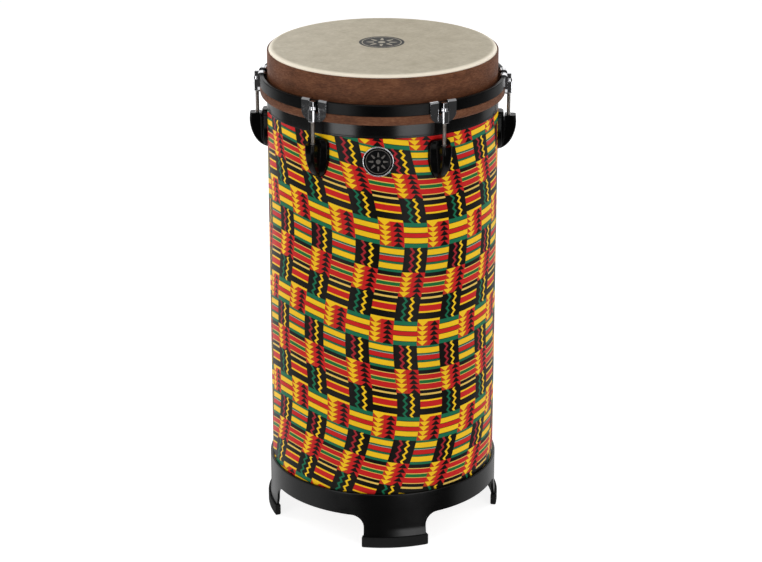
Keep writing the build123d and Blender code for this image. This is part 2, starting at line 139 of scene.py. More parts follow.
def slab(columns, place, closed=False, bm=None):
    """A solid sheet. Each column is (v, [u, ...]); neighbours join row by row as far as both go,
    and place(u, v, side) gives the point of side 0 or 1."""
    bm = bm or bmesh.new()
    sides = []
    for side in (0, 1):
        sides.append([[bm.verts.new(place(u, v, side)) for u in rows] for v, rows in columns])
    count = len(columns)
    front = []
    for c in range(count if closed else count - 1):
        n = (c + 1) % count
        for i in range(min(len(columns[c][1]), len(columns[n][1])) - 1):
            quads = [(g[c][i], g[n][i], g[n][i + 1], g[c][i + 1]) for g in sides]
            front.append(bm.faces.new(quads[0]))
            bm.faces.new(quads[1][::-1])
    twin = {}
    for a, b in zip(*sides):
        for va, vb in zip(a, b):
            twin[va] = vb
    rim = [e for f in front for e in f.edges if len(e.link_faces) == 1]
    for e in rim:
        a, b = e.verts
        bm.faces.new((a, b, twin[b], twin[a]))
    loose = [v for v in bm.verts if not v.link_faces]
    bmesh.ops.delete(bm, geom=loose, context="VERTS")
    bmesh.ops.remove_doubles(bm, verts=bm.verts, dist=1e-4)
    return bm


def loft(sections, bm=None):
    """A closed skin over equal-length closed loops of points, capped at both ends."""
    bm = bm or bmesh.new()
    loops = [[bm.verts.new(p) for p in section] for section in sections]
    count = len(loops[0])
    for low, high in zip(loops, loops[1:]):
        for i in range(count):
            j = (i + 1) % count
            bm.faces.new((low[i], low[j], high[j], high[i]))
    bm.faces.new(loops[0][::-1])
    bm.faces.new(loops[-1])
    return bm


def soften(bm, edges, size, segments=2):
    """Bevels some edges of a bmesh."""
    bmesh.ops.bevel(bm, geom=edges, offset=size, segments=segments, profile=0.5, affect="EDGES",
                    clamp_overlap=True)


def sharp_edges(bm, angle):
    """Edges whose faces meet at more than an angle in degrees."""
    bmesh.ops.recalc_face_normals(bm, faces=bm.faces)
    limit = math.radians(angle)
    return [e for e in bm.edges if len(e.link_faces) == 2 and e.calc_face_angle(0.0) > limit]


def combine(base, other, operation="UNION"):
    """Applies a boolean of another object to base, then removes the other."""
    modifier = base.modifiers.new("combine", "BOOLEAN")
    modifier.object = other
    modifier.operation = operation
    modifier.solver = "EXACT"
    graph = bpy.context.evaluated_depsgraph_get()
    mesh = bpy.data.meshes.new_from_object(base.evaluated_get(graph))
    base.modifiers.clear()
    base.data = mesh
    bpy.data.objects.remove(other)
    mesh.polygons.foreach_set("use_smooth", [True] * len(mesh.polygons))
    mesh.set_sharp_from_angle(angle=math.radians(SMOOTH_ANGLE))
    return base


def turned(pattern, name, azimuth):
    """A copy of a piece modelled along +X, turned to its azimuth."""
    mesh = pattern.data.copy()
    mesh.transform(Matrix.Rotation(math.radians(azimuth - 90), 4, "Z"))
    obj = bpy.data.objects.new(name, mesh)
    bpy.context.scene.collection.objects.link(obj)
    return obj


def finish_piece(obj, body, slot_name, material, *nodes):
    """Gives a piece its body and material, and hides the CAD nodes it stands for. Its slot_name is
    not used.
    """
    obj.data.materials.clear()
    obj.data.materials.append(material)
    normals = obj.modifiers.new("flat faces stay flat", "WEIGHTED_NORMAL")
    normals.keep_sharp = True
    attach(obj, body)
    if nodes:
        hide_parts(*nodes)


# Materials ---------------------------------------------------------------------------------------


def linear(red, green, blue):
    """A colour given as 0-255 display values, as linear RGBA."""
    def one(c):
        c /= 255
        return c / 12.92 if c <= 0.04045 else ((c + 0.055) / 1.055) ** 2.4
    return one(red), one(green), one(blue), 1.0


class Field:
    """A float in a node tree; arithmetic on it adds Math nodes."""

    def __init__(self, look, socket):
        self.look, self.socket = look, socket

    def math(self, operation, *others):
        node = self.look.tree.nodes.new("ShaderNodeMath")
        node.operation = operation
        for place, value in zip(node.inputs, (self, *others)):
            self.look.feed(place, value)
        return Field(self.look, node.outputs[0])

    def __add__(self, other):
        return self.math("ADD", other)

    def __sub__(self, other):
        return self.math("SUBTRACT", other)

    def __mul__(self, other):
        return self.math("MULTIPLY", other)

    def __truediv__(self, other):
        return self.math("DIVIDE", other)

    def __neg__(self):
        return self * -1.0

    def wrap(self, period):
        return self.math("FLOORED_MODULO", period)

    def below(self, other):
        return self.math("LESS_THAN", other)

    def above(self, other):
        return self.math("GREATER_THAN", other)

    def between(self, low, high):
        return self.above(low) * self.below(high)

    def sin(self):
        return self.math("SINE")

    def cos(self):
        return self.math("COSINE")

    def abs(self):
        return self.math("ABSOLUTE")


class Graph:
    """Short names for the nodes of one tree."""

    def __init__(self, tree):
        self.tree = tree

    def coordinates(self, kind):
        """A coordinate vector and its three parts."""
        node = self.tree.nodes.new("ShaderNodeTexCoord")
        split = self.tree.nodes.new("ShaderNodeSeparateXYZ")
        self.tree.links.new(node.outputs[kind], split.inputs[0])
        return node.outputs[kind], [Field(self, s) for s in split.outputs]

    def feed(self, place, value):
        if isinstance(value, Field):
            self.tree.links.new(value.socket, place)
        elif isinstance(value, bpy.types.NodeSocket):
            self.tree.links.new(value, place)
        else:
            place.default_value = value

    def ramp(self, value, stops, sharp=False):
        """Colour of a 0-1 value from (position, colour) stops."""
        node = self.tree.nodes.new("ShaderNodeValToRGB")
        self.feed(node.inputs[0], value)
        band = node.color_ramp
        band.interpolation = "CONSTANT" if sharp else "LINEAR"
        while len(band.elements) < len(stops):
            band.elements.new(1.0)
        for element, (position, colour) in zip(band.elements, stops):
            element.position = position
            element.color = colour
        return node.outputs[0]

    def mix(self, factor, a, b, blend="MIX"):
        node = self.tree.nodes.new("ShaderNodeMix")
        node.data_type = "RGBA"
        node.blend_type = blend
        for place, value in zip((node.inputs[0], node.inputs[6], node.inputs[7]), (factor, a, b)):
            self.feed(place, value)
        return node.outputs[2]

    def smooth(self, value, low, high, out_low=0.0, out_high=1.0):
        """Smoothly maps a value's low..high to out_low..out_high."""
        node = self.tree.nodes.new("ShaderNodeMapRange")
        node.interpolation_type = "SMOOTHSTEP"
        for place, number in zip(node.inputs, (value, low, high, out_low, out_high)):
            self.feed(place, number)
        return Field(self, node.outputs[0])


class Look(Graph):
    """A node material built on one Principled shader."""

    def __init__(self, name, roughness=0.5, **constants):
        self.material = bpy.data.materials.new(name)
        self.material.use_nodes = True
        super().__init__(self.material.node_tree)
        self.shader = self.tree.nodes["Principled BSDF"]
        self.shader.inputs["Roughness"].default_value = roughness
        for key, value in constants.items():
            self.shader.inputs[key.replace("_", " ")].default_value = value
        self.place, parts = self.coordinates("Object")
        self.x, self.y, self.z = (part * (1 / MM) for part in parts)

    def azimuth(self):
        """Angle about the drum's axis in radians, 0 at the badge, positive toward +X."""
        return self.x.math("ARCTAN2", -self.y)

    def vector(self, x, y, z):
        node = self.tree.nodes.new("ShaderNodeCombineXYZ")
        for place, value in zip(node.inputs, (x, y, z)):
            self.feed(place, value)
        return node.outputs[0]

    def noise(self, size, detail=3.0, stretch=(1.0, 1.0, 1.0), roughness=0.55, at=None, shift=0.0):
        """Noise between 0 and 1 whose features are about size millimetres across."""
        mapping = self.tree.nodes.new("ShaderNodeMapping")
        self.feed(mapping.inputs["Vector"], at if at is not None else self.place)
        unit = 1.0 if at is not None else 1 / MM
        mapping.inputs["Scale"].default_value = [unit / (size * s) for s in stretch]
        mapping.inputs["Location"].default_value = (shift, shift, shift)
        node = self.tree.nodes.new("ShaderNodeTexNoise")
        node.inputs["Scale"].default_value = 1.0
        node.inputs["Detail"].default_value = detail
        node.inputs["Roughness"].default_value = roughness
        self.tree.links.new(mapping.outputs[0], node.inputs["Vector"])
        return Field(self, node.outputs[0])

    def bump(self, height, depth, strength=1.0):
        """Relief whose full height is depth millimetres."""
        node = self.tree.nodes.new("ShaderNodeBump")
        node.inputs["Strength"].default_value = strength
        node.inputs["Distance"].default_value = depth * MM
        self.feed(node.inputs["Height"], height)
        self.tree.links.new(node.outputs[0], self.shader.inputs["Normal"])

    def paint(self, colour=None, roughness=None):
        if colour is not None:
            self.feed(self.shader.inputs["Base Color"], colour)
        if roughness is not None:
            self.feed(self.shader.inputs["Roughness"], roughness)
        return self.material


# The print. Its stripes are given from the top of each column's repeat, downward.
CHARCOAL, YELLOW, RED = linear(10, 8, 4), linear(238, 190, 0), linear(194, 12, 8)
CRIMSON, TEAL, GREEN = linear(160, 24, 36), linear(6, 106, 72), linear(10, 106, 44)
STRAW, PALE, RUST = linear(222, 184, 84), linear(178, 172, 162), linear(186, 52, 4)

BLOCK = 31.9  # width of one column of the print
REPEAT = 139.0  # height of the print's repeat
ROW = REPEAT / 4
PRINT_SHIFT = -26.8  # places the columns round the shell
PRINT_STRETCH = 0.99
PRINT_TURN = 2.14  # azimuth that the print's waves are counted from, in degrees
PRINT_MIDDLE, PRINT_HALF = 333.5, 250.0  # height of the print's middle, and from there to an end
ZIGZAG_PITCH, ZIGZAG_SWING, ZIGZAG_HALF = 9.7, 4.2, 1.7  # repeat, sideways swing and half width
TRIANGLE = ROW / 5  # height of one triangle
DOWN_MIDDLE, DOWN_HALF, UP_MIDDLE, UP_HALF = 7.5, 7.4, 24.2, 6.6  # the two columns of triangles
THREAD = 0.9  # pitch of the cloth's weave


def stripes(bands, length):
    """Constant ramp stops for (from, to, colour) bands on charcoal over a length."""
    stops, reached = [], 0.0
    for start, end, colour in bands:
        if start > reached:
            stops.append((reached / length, CHARCOAL))
        stops.append((start / length, colour))
        reached = end
    if reached < length:
        stops.append((reached / length, CHARCOAL))
    return stops


def cloth_look():
    """Woven-strip pattern: two kinds of columns, each a stack of stripes, zigzags and triangles."""
    look = Look("printed_cloth", roughness=0.4, Specular_IOR_Level=0.22)
    angle = look.azimuth() - math.radians(PRINT_TURN)
    height = (look.z - PRINT_MIDDLE) / PRINT_HALF
    u = angle * (wrap_r * PRINT_STRETCH) - column_lean(height) + PRINT_SHIFT
    w = (-look.z + row_wave(angle, height)).wrap(REPEAT)
    across = u.wrap(2 * BLOCK)
    is_a = across.below(BLOCK)
    s = across.wrap(BLOCK)
    t = w.wrap(ROW)
    row = (w / ROW).math("FLOOR")

    def zigzag(centre, phase):
        wave = ((t / ZIGZAG_PITCH + phase).wrap(1.0) * 2.0 - 1.0).abs()
        return (s - (wave * -ZIGZAG_SWING + (centre + ZIGZAG_SWING / 2))).abs().below(ZIGZAG_HALF)

    def triangles(level):
        q = (level / TRIANGLE).wrap(1.0)
        ground = look.mix(s.between(1.2, 15.0), RED, RUST)
        down = (s - DOWN_MIDDLE).abs().below(-q * DOWN_HALF + DOWN_HALF)
        up = (s - UP_MIDDLE).abs().below(q * UP_HALF)
        return look.mix(up, look.mix(down, ground, YELLOW), CHARCOAL)

    zig_left = look.mix(row.below(0.5), TEAL, CRIMSON)
    zigzags = look.mix(zigzag(11.0, 0.9), CHARCOAL, zig_left)
    zigzags = look.mix(zigzag(20.8, 0.75), zigzags, YELLOW)
    ladder = look.ramp(t / ROW, stripes([
        (0, 5.6, TEAL), (6.4, 13.6, YELLOW), (14.4, 20.3, RED), (21.1, 28.3, YELLOW),
        (29.1, ROW, TEAL),
    ], ROW), sharp=True)
    column_a = look.mix(row.between(0.5, 1.5), zigzags, triangles(t))
    column_a = look.mix(row.above(2.5), column_a, ladder)

    bars_high = 101.05
    bars = look.ramp(w / bars_high, stripes([
        (0, 2.6, TEAL), (2.9, 10.6, YELLOW), (10.9, 13.0, TEAL), (13.0, 13.7, PALE),
        (14.0, 20.2, RED), (21.0, 23.6, TEAL), (24.0, 31.3, YELLOW), (31.6, 35.4, TEAL),
        (40.7, 42.0, STRAW), (42.0, 48.9, RED), (48.9, 50.0, STRAW), (50.0, 54.5, GREEN),
        (54.5, 55.6, STRAW), (55.6, 63.3, RED), (63.3, 64.5, STRAW), (69.1, 71.9, STRAW),
        (78.9, 81.3, YELLOW), (81.3, 89.3, RED), (89.3, 91.7, YELLOW),
    ], bars_high), sharp=True)
    last, yellow_edge = REPEAT - ROW, 3.2
    foot = look.mix(w.below(last), triangles(w - last), YELLOW)
    column_b = look.mix(w.above(last - yellow_edge), bars, foot)
    colour = look.mix(is_a, column_b, column_a)

    arc = angle * wrap_r
    thread = look.vector(arc, look.z, 0.0)
    slub = look.noise(1.0, detail=2.0, stretch=(3.5, 0.5, 1.0), at=thread)
    fade = look.noise(70.0, detail=2.0)
    tone = look.smooth(slub * 0.6 + fade * 0.4, 0.25, 0.75, 0.9, 1.06)
    colour = look.mix(1.0, colour, look.vector(tone, tone, tone), "MULTIPLY")
    warp = (arc * (2 * math.pi / THREAD)).sin()
    weft = (look.z * (2 * math.pi / THREAD)).sin()
    seam = look.smooth((look.azimuth().abs() - math.pi).abs() * wrap_r, 0.25, 0.7)
    colour = look.mix(seam, CHARCOAL, colour)
    look.bump(warp * weft * 0.25 + slub * 0.5 + seam * 1.5, 0.05, 0.5)
    return look.paint(colour, look.smooth(slub, 0.3, 0.8, 0.36, 0.5))


def column_lean(height):
    """Sideways drift of the print's columns in millimetres, at -1 (foot) to 1 (neck) up it."""
    return (height * 5.68 - 1.12).sin() * 7.6 + height * (height * -20.9 + 6.4) - 4.8


def row_wave(angle, height):
    """Height of the print's rows in millimetres: two slow waves round the drum, and a sag near
    the neck."""
    once = angle.cos() * (height * -9.6 + 38.7) - angle.sin() * (height * 2.3 + 8.4)
    double = angle * 2.0
    twice = double.cos() * (height * 2.8 - 20.7) + double.sin() * (height * 2.6 - 11.4)
    near_neck = height.look.smooth(height, 0.5, 1.05, 0.0, -5.5)
    return once + twice + near_neck + height * 4.6 + 421.5


def fibre_look(name, dark, mid, pale, roughness, speckle=0.5):
    """Pressed fibre board: fine matted fibres, mostly lying round the drum."""
    look = Look(name, roughness=roughness, Specular_IOR_Level=0.2)
    arc = look.azimuth() * wrap_r
    flat = look.vector(arc, look.z, (look.x * look.x + look.y * look.y).math("SQRT"))
    fibres = look.noise(1.6, detail=4.0, stretch=(2.6, 0.7, 1.0), at=flat)
    clouds = look.noise(14.0, detail=3.0, stretch=(2.0, 1.0, 1.0), at=flat, shift=3.0)
    specks = look.noise(0.8, detail=1.0, at=flat, shift=7.0)
    value = fibres * 0.55 + clouds * 0.45
    colour = look.ramp(value, [(0.3, dark), (0.5, mid), (0.72, pale)])
    colour = look.mix(look.smooth(specks, 0.62, 0.75, 0.0, speckle), colour, dark)
    look.bump(fibres * 0.7 + specks * 0.3, 0.12, 0.6)
    return look.paint(colour, look.smooth(fibres, 0.3, 0.7, roughness + 0.08, roughness - 0.06))


EMBLEM_RADIUS = 30.5
EMBLEM_CENTRE = (-2.0, 15.0)  # printed a little off the head's middle
INK, INK_PALE = linear(12, 11, 10), linear(170, 163, 146)


def skin_look():
    """Coated playing film: cloudy fibre print, paler rolled edge, and a plain round emblem."""
    look = Look("head_film", roughness=0.45, Specular_IOR_Level=0.4)
    clouds = look.noise(22.0, detail=5.0)
    threads = look.noise(2.2, detail=4.0, stretch=(2.4, 0.8, 1.0))
    grain = look.noise(0.7, detail=2.0, shift=5.0)
    value = clouds * 0.4 + threads * 0.4 + grain * 0.2
    colour = look.ramp(value, [(0.32, linear(158, 147, 124)), (0.5, linear(178, 168, 146)),
                               (0.7, linear(199, 190, 170))])
    radius = (look.x * look.x + look.y * look.y).math("SQRT")
    edge = look.smooth(radius, skin_r - 8.0, skin_r - 1.0)
    colour = look.mix(edge, colour, linear(248, 238, 218))
    across, up = look.x - EMBLEM_CENTRE[0], look.y - EMBLEM_CENTRE[1]
    off_centre = (across * across + up * up).math("SQRT")
    ink = emblem(look, off_centre, across.math("ARCTAN2", up), EMBLEM_RADIUS)
    printed = look.smooth(off_centre, EMBLEM_RADIUS - 0.3, EMBLEM_RADIUS + 0.3, 1.0, 0.0)
    colour = look.mix(printed, colour, ink)
    look.bump(threads * 0.5 + grain * 0.3 + printed * 0.3, 0.06, 0.7)
    return look.paint(colour, look.smooth(threads, 0.3, 0.7, 0.5, 0.4))


def emblem(look, radius, turn, size, line=INK_PALE, ground=INK):
    """A plain sun: a ring, eight wedge rays and a centre dot, pale on dark."""
    part = radius / size
    rays = 8
    sector = (turn * (rays / (2 * math.pi)) + 0.5).wrap(1.0) - 0.5
    ray = (sector.abs() * 2.0).below(-part * 1.3 + 0.98) * part.between(0.34, 0.68)
    marks = (part.between(0.84, 0.88) + ray + part.below(0.16)).math("MINIMUM", 1.0)
    return look.mix(marks, ground, line)


def metal_look(name, colour, roughness, smudge=0.05, thread=0.0, ripple=0.01):
    """Plated steel with smudges, a rippled surface and, if asked, painted shade between the threads.
    """
    look = Look(name, roughness=roughness, Metallic=1.0)
    haze = look.noise(9.0, detail=4.0)
    fine = look.noise(1.2, detail=3.0, shift=4.0)
    tone = look.smooth(haze, 0.3, 0.7, 1.0, 0.9)
    painted = look.mix(1.0, colour, look.vector(tone, tone, tone), "MULTIPLY")
    if thread:
        # Painted shade: a brownish darkening in fine streaks, standing in for the shade between the
        # rod's threads.
        painted_thread_shade = look.noise(4.0, detail=3.0, stretch=(1.0, 1.0, 0.3), shift=2.0)
        painted = look.mix(painted_thread_shade * thread, painted, linear(90, 80, 70))
    waves = look.noise(6.0, detail=1.0, shift=9.0)
    look.bump(waves * ripple + fine * 0.003, 1.0)
    gloss = look.smooth(haze * 0.7 + fine * 0.3, 0.3, 0.7, roughness, roughness + smudge)
    return look.paint(painted, gloss)


def black_look(name, shade, roughness, specular, grain=0.03, grain_size=0.5, spread=0.06, coat=0.0):
    """Black paint, film, plastic or rubber with a fine grain and a slightly uneven gloss."""
    look = Look(name, roughness=roughness, Specular_IOR_Level=specular, Coat_Weight=coat,
                Coat_Roughness=0.08)
    fine = look.noise(grain_size, detail=3.0)
    broad = look.noise(30.0, detail=3.0, shift=3.0)
    colour = look.ramp(broad * 0.5 + fine * 0.5, [(0.3, linear(*(0.75 * c for c in shade))),
                                                  (0.7, linear(*(1.2 * c for c in shade)))])
    look.bump(fine, grain, 0.6)
    return look.paint(colour, look.smooth(broad * 0.6 + fine * 0.4, 0.35, 0.65,
                                          roughness - spread / 2, roughness + spread / 2))


def badge_look():
    """Gloss enamel with the plain sun motif in silver."""
    look = Look("badge_enamel", roughness=0.2, Specular_IOR_Level=0.5)
    up = look.z - badge_z
    radius = (look.x * look.x + up * up).math("SQRT")
    ink = emblem(look, radius, look.x.math("ARCTAN2", up), badge_r - badge_rim_width,
                 linear(92, 88, 84), linear(9, 9, 10))
    cloud = look.noise(6.0, detail=3.0)
    tone = look.smooth(cloud, 0.3, 0.7, 0.85, 1.1)
    look.bump(cloud, 0.02, 0.3)
    return look.paint(look.mix(1.0, ink, look.vector(tone, tone, tone), "MULTIPLY"),
                      look.smooth(cloud, 0.3, 0.7, 0.16, 0.26))


cloth = cloth_look()
collar_fibre = fibre_look("collar_fibre", linear(64, 37, 22), linear(97, 58, 36),
                          linear(128, 83, 56), 0.55)
raw_fibre = fibre_look("raw_fibre", linear(96, 68, 46), linear(136, 102, 72),
                       linear(168, 132, 98), 0.7, 0.3)
head_film = skin_look()
chrome = metal_look("chrome", (0.78, 0.78, 0.8, 1.0), 0.06, ripple=0.1)
rod_steel = metal_look("rod_plating", (0.62, 0.58, 0.54, 1.0), 0.3, 0.1, 0.45)
zinc = metal_look("zinc", (0.58, 0.59, 0.6, 1.0), 0.32, 0.12)
silver = metal_look("badge_silver", (0.75, 0.75, 0.77, 1.0), 0.16)
hoop_black = black_look("powder_coat", (4, 4, 4), 0.3, 0.15, 0.03, 0.7)
neck_black = black_look("neck_film", (7, 7, 7), 0.18, 0.45, 0.006, 1.2)
lug_black = black_look("gloss_moulding", (5, 5, 5), 0.18, 0.12, 0.01, 3.0, 0.05)
base_black = black_look("satin_moulding", (7, 7, 7), 0.24, 0.32, 0.02, 0.6)
rubber = black_look("rubber", (22, 22, 22), 0.7, 0.2, 0.05, 0.5)
enamel = badge_look()

# Shell -------------------------------------------------------------------------------------------
tube_wall = 7.0
tube_bore = shell_r - tube_wall
tube = object_of("tube", lathe(rounded([
    (tube_bore, shell_low, 0.4), (shell_r, shell_low, 0.2), (shell_r, shell_top, 0.2),
    (tube_bore, shell_top, 0.8)], 2)))
finish_piece(tube, "shell", "shell_fibre", raw_fibre, "shell_tube")

wrap = object_of("wrap", lathe(rounded([
    (shell_r, wrap_low, 0), (wrap_r, wrap_low, 0.3), (wrap_r, wrap_top, 0.25),
    (shell_r, wrap_top, 0)], 2)))
finish_piece(wrap, "shell", "cloth_print", cloth, "pattern_wrap")

groove_z = wrap_top + 2.6
groove_half, groove_depth = 0.5, 0.4
band = object_of("band", lathe(rounded([
    (shell_r, wrap_top, 0), (wrap_r, wrap_top, 0.25), (wrap_r, groove_z - groove_half, 0.1),
    (wrap_r - groove_depth, groove_z, 0.15), (wrap_r, groove_z + groove_half, 0.1),
    (wrap_r, shell_top, 0.4),
    (shell_r, shell_top, 0)], 2)))
finish_piece(band, "shell", "black_finish", neck_black, "neck_band")

bearing_bore, bearing_round = bearing_r - 6.0, 2.9
bearing = object_of("bearing", lathe(rounded([
    (bearing_bore, bearing_low, 0.6), (bearing_r, bearing_low, 0.6),
    (bearing_r, bearing_top, bearing_round), (bearing_bore, bearing_top, bearing_round)], 6)))
finish_piece(bearing, "shell", "bearing_fibre", raw_fibre, "bearing_ring")

# Head: film, collar and hoop ---------------------------------------------------------------------
film_thick, film_round = 0.6, 5.2
film_under, film_inside = skin_top - film_thick, skin_r - film_thick
film = object_of("film", lathe(rounded([
    (0.0, film_under, 0), (film_inside, film_under, film_round - film_thick),
    (film_inside, skirt_low, 0), (skin_r, skirt_low, 0), (skin_r, skin_top, film_round),
    (90.0, skin_top, 0), (31.0, skin_top, 0), (0.0, skin_top, 0)], 8)))
finish_piece(film, "head", "skin", head_film, "drum_skin")

collar_gap, collar_wall = 1.8, 5.0
collar_bore = bearing_r + collar_gap
collar_r = collar_bore + collar_wall
lip_top = hoop_low
lip_round, lip_flare_round = 4.5, 4.0
recess_gap, recess_depth = 1.5, 7.7
recess_r, recess_top = wrap_r + recess_gap, lip_low + recess_depth
collar = object_of("collar", lathe(rounded([
    (collar_r, lip_top, lip_flare_round), (collar_r, collar_top, 0.7), (skin_r, collar_top, 0.3),
    (skin_r, skirt_low, 0), (collar_bore, skirt_low, 0.4), (collar_bore, recess_top, 1.0),
    (recess_r, recess_top, 1.5), (recess_r, lip_low, 1.2), (lip_r, lip_low, lip_round),
    (lip_r, lip_top, 1.2)], 6)))
finish_piece(collar, "head", "collar_fibre", collar_fibre, "head_collar")

hoop_thick, hoop_edge = 5.5, 1.5
hoop_in = hoop_r - hoop_thick
hoop = object_of("hoop", lathe(rounded([
    (hoop_in, hoop_low, 0.6), (hoop_r, hoop_low, 0.6), (hoop_r, hoop_top, hoop_edge),
    (hoop_in, hoop_top, hoop_edge)], 5)))
finish_piece(hoop, "head", "hoop_paint", hoop_black, "tension_hoop")

# Claws -------------------------------------------------------------------------------------------
claw_low, claw_top = (corner.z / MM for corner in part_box("claw_1"))
claw_thick = claw_top - hoop_top
claw_half = 19.0
slot_half, slot_round, web_height = 7.0, 3.0, 10.0
inner_leg, claw_edge = 10.5, 1.05
inner_low = hoop_top - inner_leg
barrel_r, barrel_height = 4.5, 16.1
contact_gap = 0.02  # keeps faces that bear on each other apart
rod_r = 2.5
rod_bore = rod_r + 0.08
rod_circle = hoop_r + barrel_r + 0.05

# The hook's inner face as a path from the outer leg's foot over the hoop to the inner leg's end.
hook = rounded([(hoop_r, claw_low, 0), (hoop_r, hoop_top, hoop_edge),
                (hoop_in, hoop_top, hoop_edge), (hoop_in, inner_low, 0)], 8, closed=False)
hook_steps = [0.0]
for p, q in zip(hook, hook[1:]):
    hook_steps.append(hook_steps[-1] + math.dist(p, q))
hook_length = hook_steps[-1]


def on_hook(s, depth):
    """Point (r, z) at a path length s, pushed out of the hook's inner face by depth."""
    s = min(max(s, 0.0), hook_length)
    i = max(k for k in range(len(hook) - 1) if hook_steps[k] <= s + 1e-9)
    span = hook_steps[i + 1] - hook_steps[i]
    f = (s - hook_steps[i]) / span
    r = hook[i][0] + (hook[i + 1][0] - hook[i][0]) * f
    z = hook[i][1] + (hook[i + 1][1] - hook[i][1]) * f

    def normal(k):
        before, after = hook[max(k - 1, 0)], hook[min(k + 1, len(hook) - 1)]
        d = Vector((after[0] - before[0], after[1] - before[1])).normalized()
        return Vector((d.y, -d.x))

    n = normal(i).lerp(normal(i + 1), f).normalized()
    return r + n.x * depth, z + n.y * depth


def claw_point(s, y, side):
    """Point of the claw's sheet: its inner face follows the round hoop, its outer face is flat."""
    r, z = on_hook(s, claw_thick if side == 0 else contact_gap)
    curved = math.sqrt(r * r - y * y)
    if side == 1 or r < hoop_r:
        return curved, y, z
    flat = min(1.0, (r - hoop_r) / claw_thick)
    return curved + (r - curved) * flat, y, z


def spread(low, high, count):
    return [low + (high - low) * k / count for k in range(count + 1)]


# Columns across the claw, closer together round its slot and its corners.
corner, end_corner = 13.0, 2.5
ys = spread(0, slot_half - slot_round, 4)
ys += [slot_half - slot_round * math.cos(math.pi / 2 * k / 5) for k in range(1, 6)]
ys += spread(slot_half, slot_half + end_corner, 4)[1:]
ys += [claw_half - corner + corner * math.sin(math.pi / 2 * k / 12) for k in range(2, 13)]
ys = sorted(set(round(y, 4) for y in ys))
ys = [-y for y in ys[:0:-1]] + ys
columns = []
for y in ys:
    a = abs(y)
    past_corner = max(0.0, a - (claw_half - corner))
    start = corner - math.sqrt(max(0.0, corner**2 - past_corner**2))
    past_slot = min(max(0.0, a - (slot_half - slot_round)), slot_round)
    web = web_height + slot_round - math.sqrt(max(0.0, slot_round**2 - past_slot**2))
    rows = spread(start, web, 6)
    if a >= slot_half - 1e-6:
        into_end = min(max(0.0, slot_half + end_corner - a, a - (claw_half - end_corner)), end_corner)
        end = hook_length - end_corner + math.sqrt(max(0.0, end_corner**2 - into_end**2))
        bend = [s for s in hook_steps if web + 1.0 < s < hook_length - end_corner - 1.0]
        rows = rows + spread(web, bend[0], 3)[1:-1] + bend + spread(bend[-1], end, 3)[1:]
    columns.append((y, rows))
bm = slab(columns, claw_point)
soften(bm, sharp_edges(bm, 50), claw_edge, 4)
claw_plate = object_of("claw_plate", bm)


def squared(r, z, t):
    """Flattens the barrel's four sides, leaving its bore round."""
    if r > (rod_bore + barrel_r) / 2:
        r /= (math.cos(t)**8 + math.sin(t)**8) ** (1 / 8)
    return r, z


barrel = lathe(rounded([
    (rod_bore, claw_low, 0.3), (barrel_r, claw_low, 0.7), (barrel_r, claw_low + barrel_height, 0.5),
    (rod_bore, claw_low + barrel_height, 0.3)], 3), 72, centre=(rod_circle, 0.0), flow=squared)
claw_plate = combine(claw_plate, object_of("claw_barrel", barrel))
for number, azimuth in enumerate(STATIONS, start=1):
    claw = turned(claw_plate, f"hook_{number}", azimuth)
    finish_piece(claw, "head", "chrome", chrome, f"claw_{number}")
bpy.data.objects.remove(claw_plate)

# Rods and washers --------------------------------------------------------------------------------
washer_r, washer_thick = 4.4, 2.5
flange_r, flange_thick = 4.3, 1.5
head_side, head_height, head_sunk = 6.35, 7.2, 0.4
head_neck_r = 2.9
rod_length = 81.5
washer_low = claw_low + barrel_height
flange_low = washer_low + washer_thick
flange_top = flange_low + flange_thick
rod_low = flange_low - rod_length
rod_top = flange_top + head_height
PITCH, CUTS = 0.8, 20  # the thread's pitch, and its steps in one turn
thread_root = 2.08
thread_top = claw_low + 5.0
thread_profile = [(thread_root, 0.0), (thread_root, 0.1), (rod_r, 0.38), (rod_r, 0.52)]


def threaded(bm, x, low, high):
    """A right-hand helical thread about the vertical line at x, closed at both ends."""
    turns = int((high - low) / PITCH)
    width = len(thread_profile)
    grid = []
    for i in range(turns * CUTS + 1):
        t = 2 * math.pi * i / CUTS
        z = low + PITCH * i / CUTS
        grid.append([bm.verts.new((x + r * math.cos(t), r * math.sin(t), z + rise))
                     for r, rise in thread_profile])
    for i in range(turns * CUTS):
        for j in range(width):
            if j + 1 < width:
                bm.faces.new((grid[i][j], grid[i + 1][j], grid[i + 1][j + 1], grid[i][j + 1]))
            elif i + CUTS + 1 < len(grid):
                bm.faces.new((grid[i][j], grid[i + 1][j], grid[i + CUTS + 1][0], grid[i + CUTS][0]))
    for level, rim in ((low, [row[0] for row in grid[:CUTS + 1]]),
                       (high, [row[-1] for row in grid[-CUTS - 1:]])):
        tip = bm.verts.new((x, 0.0, level))
        for a, b in zip(rim, rim[1:]):
            bm.faces.new((a, b, tip))
    bm.faces.new([*grid[0], grid[CUTS][0]])


bm = bmesh.new()
threaded(bm, rod_circle, rod_low, thread_top + PITCH)
lathe(rounded([
    (0.0, thread_top, 0), (rod_r, thread_top, 0.2), (rod_r, flange_low, 0),
    (flange_r, flange_low, 0.3), (flange_r, flange_top, 0.4), (head_neck_r, flange_top, 0),
    (0.0, flange_top, 0)], 3), 48, bm, (rod_circle, 0.0))
head = bmesh.ops.create_cube(bm, size=1.0)
head_size = (head_side, head_side, rod_top - flange_top + head_sunk)
head_middle = (rod_circle, 0.0, (rod_top + flange_top - head_sunk) / 2)
bmesh.ops.scale(bm, vec=head_size, verts=head["verts"])
bmesh.ops.translate(bm, vec=head_middle, verts=head["verts"])
head_edges = list({e for v in head["verts"] for e in v.link_edges})
top_edges = [e for e in head_edges if all(v.co.z > rod_top - 0.1 for v in e.verts)]
side_edges = [e for e in head_edges if abs(e.verts[0].co.z - e.verts[1].co.z) > 1]
soften(bm, top_edges + side_edges, 0.6, 3)
